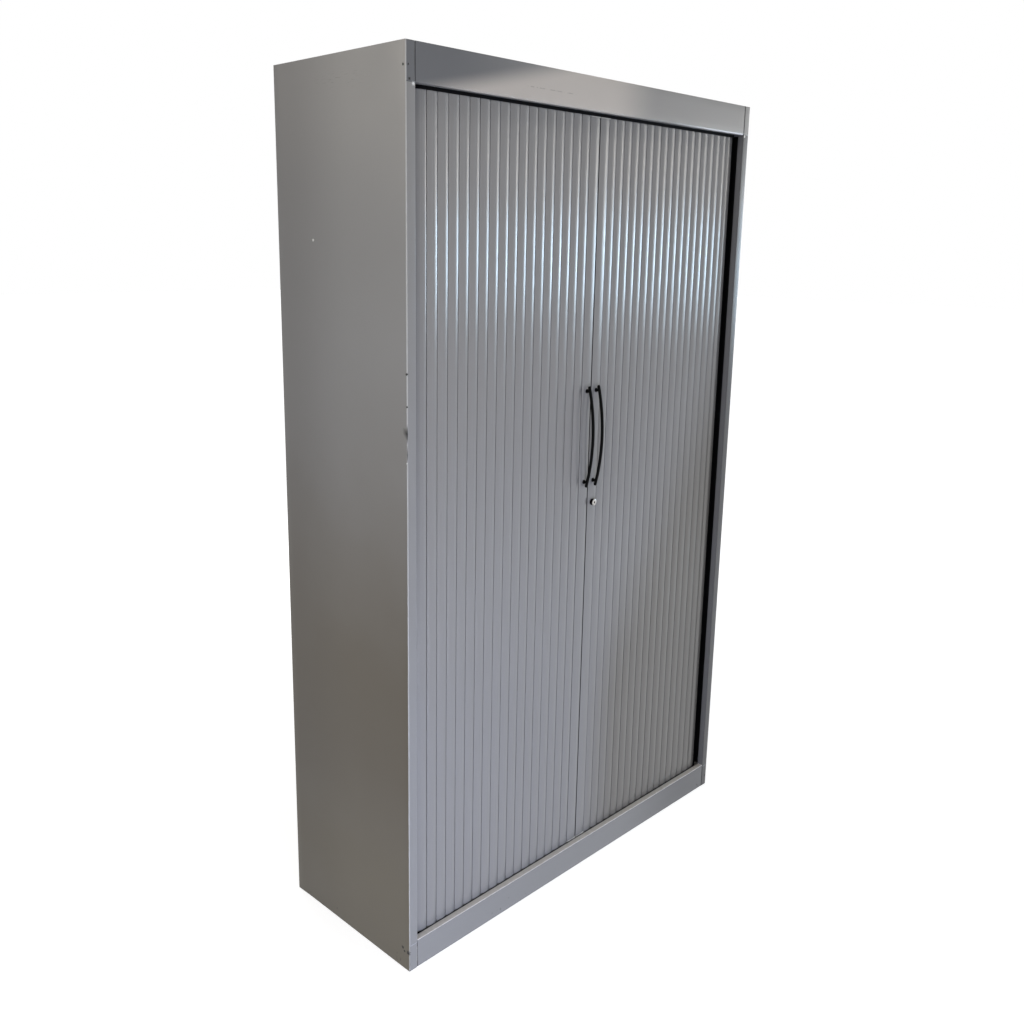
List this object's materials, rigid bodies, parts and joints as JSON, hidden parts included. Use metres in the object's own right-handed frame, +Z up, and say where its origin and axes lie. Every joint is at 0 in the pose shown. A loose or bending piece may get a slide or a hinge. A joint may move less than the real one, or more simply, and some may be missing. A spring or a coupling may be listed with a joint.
{
  "type": "roll front tool cabinet",
  "caption": "Tall steel cupboard with two side-opening roll fronts of upright slats, bow handles, a round lock and loose shelves.",
  "frame": {"origin": "middle of the footprint, on the floor", "axes": "+Z up, +Y from the front with the curtains to the back, +X to the right seen from the front"},
  "size_m": [1.2, 0.4438, 1.98],
  "materials": {
    "carcass_paint": "semi-gloss silver grey powder coat",
    "inner_paint": "satin grey powder coat",
    "slat_plastic": "silver grey, satin sheen",
    "lead_rail": "silver grey, painted",
    "track_plastic": "black",
    "handle_black": "black, satin",
    "lock_chrome": "polished",
    "zinc": "bright zinc plate",
    "foot_plastic": "black",
    "glide_plastic": "dark grey"
  },
  "bodies": {
    "carcass": {"side_panel_left": "carcass_paint", "side_panel_right": "carcass_paint", "top_panel": "carcass_paint", "ceiling_panel": "inner_paint", "back_panel": "carcass_paint", "fascia": "carcass_paint", "fascia_corners": "carcass_paint", "plinth_front": "carcass_paint", "plinth_corners": "carcass_paint", "plinth_rear": "inner_paint", "base_deck": "inner_paint", "bottom_shelf": "inner_paint", "upper_track": "track_plastic", "lower_track": "track_plastic", "side_liner_left": "inner_paint", "side_liner_right": "inner_paint", "rear_liner": "inner_paint", "shelf_upright_front_left": "inner_paint", "shelf_upright_rear_left": "inner_paint", "shelf_upright_front_right": "inner_paint", "shelf_upright_rear_right": "inner_paint", "shelf_1": "inner_paint", "shelf_2": "inner_paint", "shelf_3": "inner_paint", "shelf_4": "inner_paint", "shelf_clips": "zinc", "foot_brackets": "zinc", "slats_left_corner": "slat_plastic", "slats_right_corner": "slat_plastic"},
    "left_lead": {"lead_rail_left": "lead_rail", "lead_glides_left": "glide_plastic", "handle_left": "handle_black", "handle_screws_left": "zinc", "lock_keeper": "zinc"},
    "left_slats_1": {"slats_left_1": "slat_plastic"},
    "left_slats_2": {"slats_left_2": "slat_plastic"},
    "left_slats_3": {"slats_left_3": "slat_plastic"},
    "left_slats_4": {"slats_left_4": "slat_plastic"},
    "left_slats_5": {"slats_left_5": "slat_plastic"},
    "left_slats_6": {"slats_left_6": "slat_plastic"},
    "left_tail": {"slats_left_tail": "slat_plastic"},
    "right_lead": {"lead_rail_right": "lead_rail", "lead_glides_right": "glide_plastic", "handle_right": "handle_black", "handle_screws_right": "zinc", "lock_body": "lock_chrome"},
    "right_slats_1": {"slats_right_1": "slat_plastic"},
    "right_slats_2": {"slats_right_2": "slat_plastic"},
    "right_slats_3": {"slats_right_3": "slat_plastic"},
    "right_slats_4": {"slats_right_4": "slat_plastic"},
    "right_slats_5": {"slats_right_5": "slat_plastic"},
    "right_slats_6": {"slats_right_6": "slat_plastic"},
    "right_tail": {"slats_right_tail": "slat_plastic"},
    "lock_core": {"lock_plug": "lock_chrome", "lock_cam": "zinc"},
    "front_left_foot": {"foot_front_left": "foot_plastic"},
    "back_left_foot": {"foot_back_left": "foot_plastic"},
    "front_right_foot": {"foot_front_right": "foot_plastic"},
    "back_right_foot": {"foot_back_right": "foot_plastic"}
  },
  "joints": [
    {"name": "left_front_slide", "type": "slide", "parent": "carcass", "child": "left_lead", "axis": [-1, 0, 0], "range_m": [0, 0.49]},
    {"name": "left_slats_1_slide", "type": "slide", "parent": "carcass", "child": "left_slats_1", "axis": [-1, 0, 0], "range_m": [0, 0.47026], "deforming": ["slats_left_1"]},
    {"name": "left_slats_2_slide", "type": "slide", "parent": "carcass", "child": "left_slats_2", "axis": [-1, 0, 0], "range_m": [0, 0.38294], "deforming": ["slats_left_2"]},
    {"name": "left_slats_3_slide", "type": "slide", "parent": "carcass", "child": "left_slats_3", "axis": [-1, 0, 0], "range_m": [0, 0.29563], "deforming": ["slats_left_3"]},
    {"name": "left_slats_4_slide", "type": "slide", "parent": "carcass", "child": "left_slats_4", "axis": [-1, 0, 0], "range_m": [0, 0.20836], "deforming": ["slats_left_4"]},
    {"name": "left_slats_5_slide", "type": "slide", "parent": "carcass", "child": "left_slats_5", "axis": [-1, 0, 0], "range_m": [0, 0.12104], "deforming": ["slats_left_5"]},
    {"name": "left_slats_6_slide", "type": "slide", "parent": "carcass", "child": "left_slats_6", "axis": [-1, 0, 0], "range_m": [0, 0.04832], "deforming": ["slats_left_6"]},
    {"name": "left_tail_slide", "type": "slide", "parent": "carcass", "child": "left_tail", "axis": [0, 1, 0], "range_m": [0, 0.1573]},
    {"name": "right_front_slide", "type": "slide", "parent": "carcass", "child": "right_lead", "axis": [1, 0, 0], "range_m": [0, 0.49]},
    {"name": "right_slats_1_slide", "type": "slide", "parent": "carcass", "child": "right_slats_1", "axis": [1, 0, 0], "range_m": [0, 0.47026], "deforming": ["slats_right_1"]},
    {"name": "right_slats_2_slide", "type": "slide", "parent": "carcass", "child": "right_slats_2", "axis": [1, 0, 0], "range_m": [0, 0.38294], "deforming": ["slats_right_2"]},
    {"name": "right_slats_3_slide", "type": "slide", "parent": "carcass", "child": "right_slats_3", "axis": [1, 0, 0], "range_m": [0, 0.29563], "deforming": ["slats_right_3"]},
    {"name": "right_slats_4_slide", "type": "slide", "parent": "carcass", "child": "right_slats_4", "axis": [1, 0, 0], "range_m": [0, 0.20836], "deforming": ["slats_right_4"]},
    {"name": "right_slats_5_slide", "type": "slide", "parent": "carcass", "child": "right_slats_5", "axis": [1, 0, 0], "range_m": [0, 0.12104], "deforming": ["slats_right_5"]},
    {"name": "right_slats_6_slide", "type": "slide", "parent": "carcass", "child": "right_slats_6", "axis": [1, 0, 0], "range_m": [0, 0.04832], "deforming": ["slats_right_6"]},
    {"name": "right_tail_slide", "type": "slide", "parent": "carcass", "child": "right_tail", "axis": [0, 1, 0], "range_m": [0, 0.1573]},
    {"name": "lock_turn", "type": "hinge", "parent": "right_lead", "child": "lock_core", "pos_m": [0.0173, -0.1985, 0.993], "axis": [0, -1, 0], "range_deg": [0, 90]},
    {"name": "front_left_foot_screw", "type": "slide", "parent": "carcass", "child": "front_left_foot", "axis": [0, 0, -1], "range_m": [0, 0.015]},
    {"name": "back_left_foot_screw", "type": "slide", "parent": "carcass", "child": "back_left_foot", "axis": [0, 0, -1], "range_m": [0, 0.015]},
    {"name": "front_right_foot_screw", "type": "slide", "parent": "carcass", "child": "front_right_foot", "axis": [0, 0, -1], "range_m": [0, 0.015]},
    {"name": "back_right_foot_screw", "type": "slide", "parent": "carcass", "child": "back_right_foot", "axis": [0, 0, -1], "range_m": [0, 0.015]}
  ],
  "couplings": [
    {"joint": "left_slats_1_slide", "follows": "left_front_slide", "ratio": 0.9587},
    {"joint": "left_slats_2_slide", "follows": "left_front_slide", "ratio": 0.7805},
    {"joint": "left_slats_3_slide", "follows": "left_front_slide", "ratio": 0.6023},
    {"joint": "left_slats_4_slide", "follows": "left_front_slide", "ratio": 0.4242},
    {"joint": "left_slats_5_slide", "follows": "left_front_slide", "ratio": 0.246},
    {"joint": "left_slats_6_slide", "follows": "left_front_slide", "ratio": 0.0976},
    {"joint": "left_tail_slide", "follows": "left_front_slide", "ratio": 0.32},
    {"joint": "right_slats_1_slide", "follows": "right_front_slide", "ratio": 0.9587},
    {"joint": "right_slats_2_slide", "follows": "right_front_slide", "ratio": 0.7805},
    {"joint": "right_slats_3_slide", "follows": "right_front_slide", "ratio": 0.6023},
    {"joint": "right_slats_4_slide", "follows": "right_front_slide", "ratio": 0.4242},
    {"joint": "right_slats_5_slide", "follows": "right_front_slide", "ratio": 0.246},
    {"joint": "right_slats_6_slide", "follows": "right_front_slide", "ratio": 0.0976},
    {"joint": "right_tail_slide", "follows": "right_front_slide", "ratio": 0.32}
  ]
}
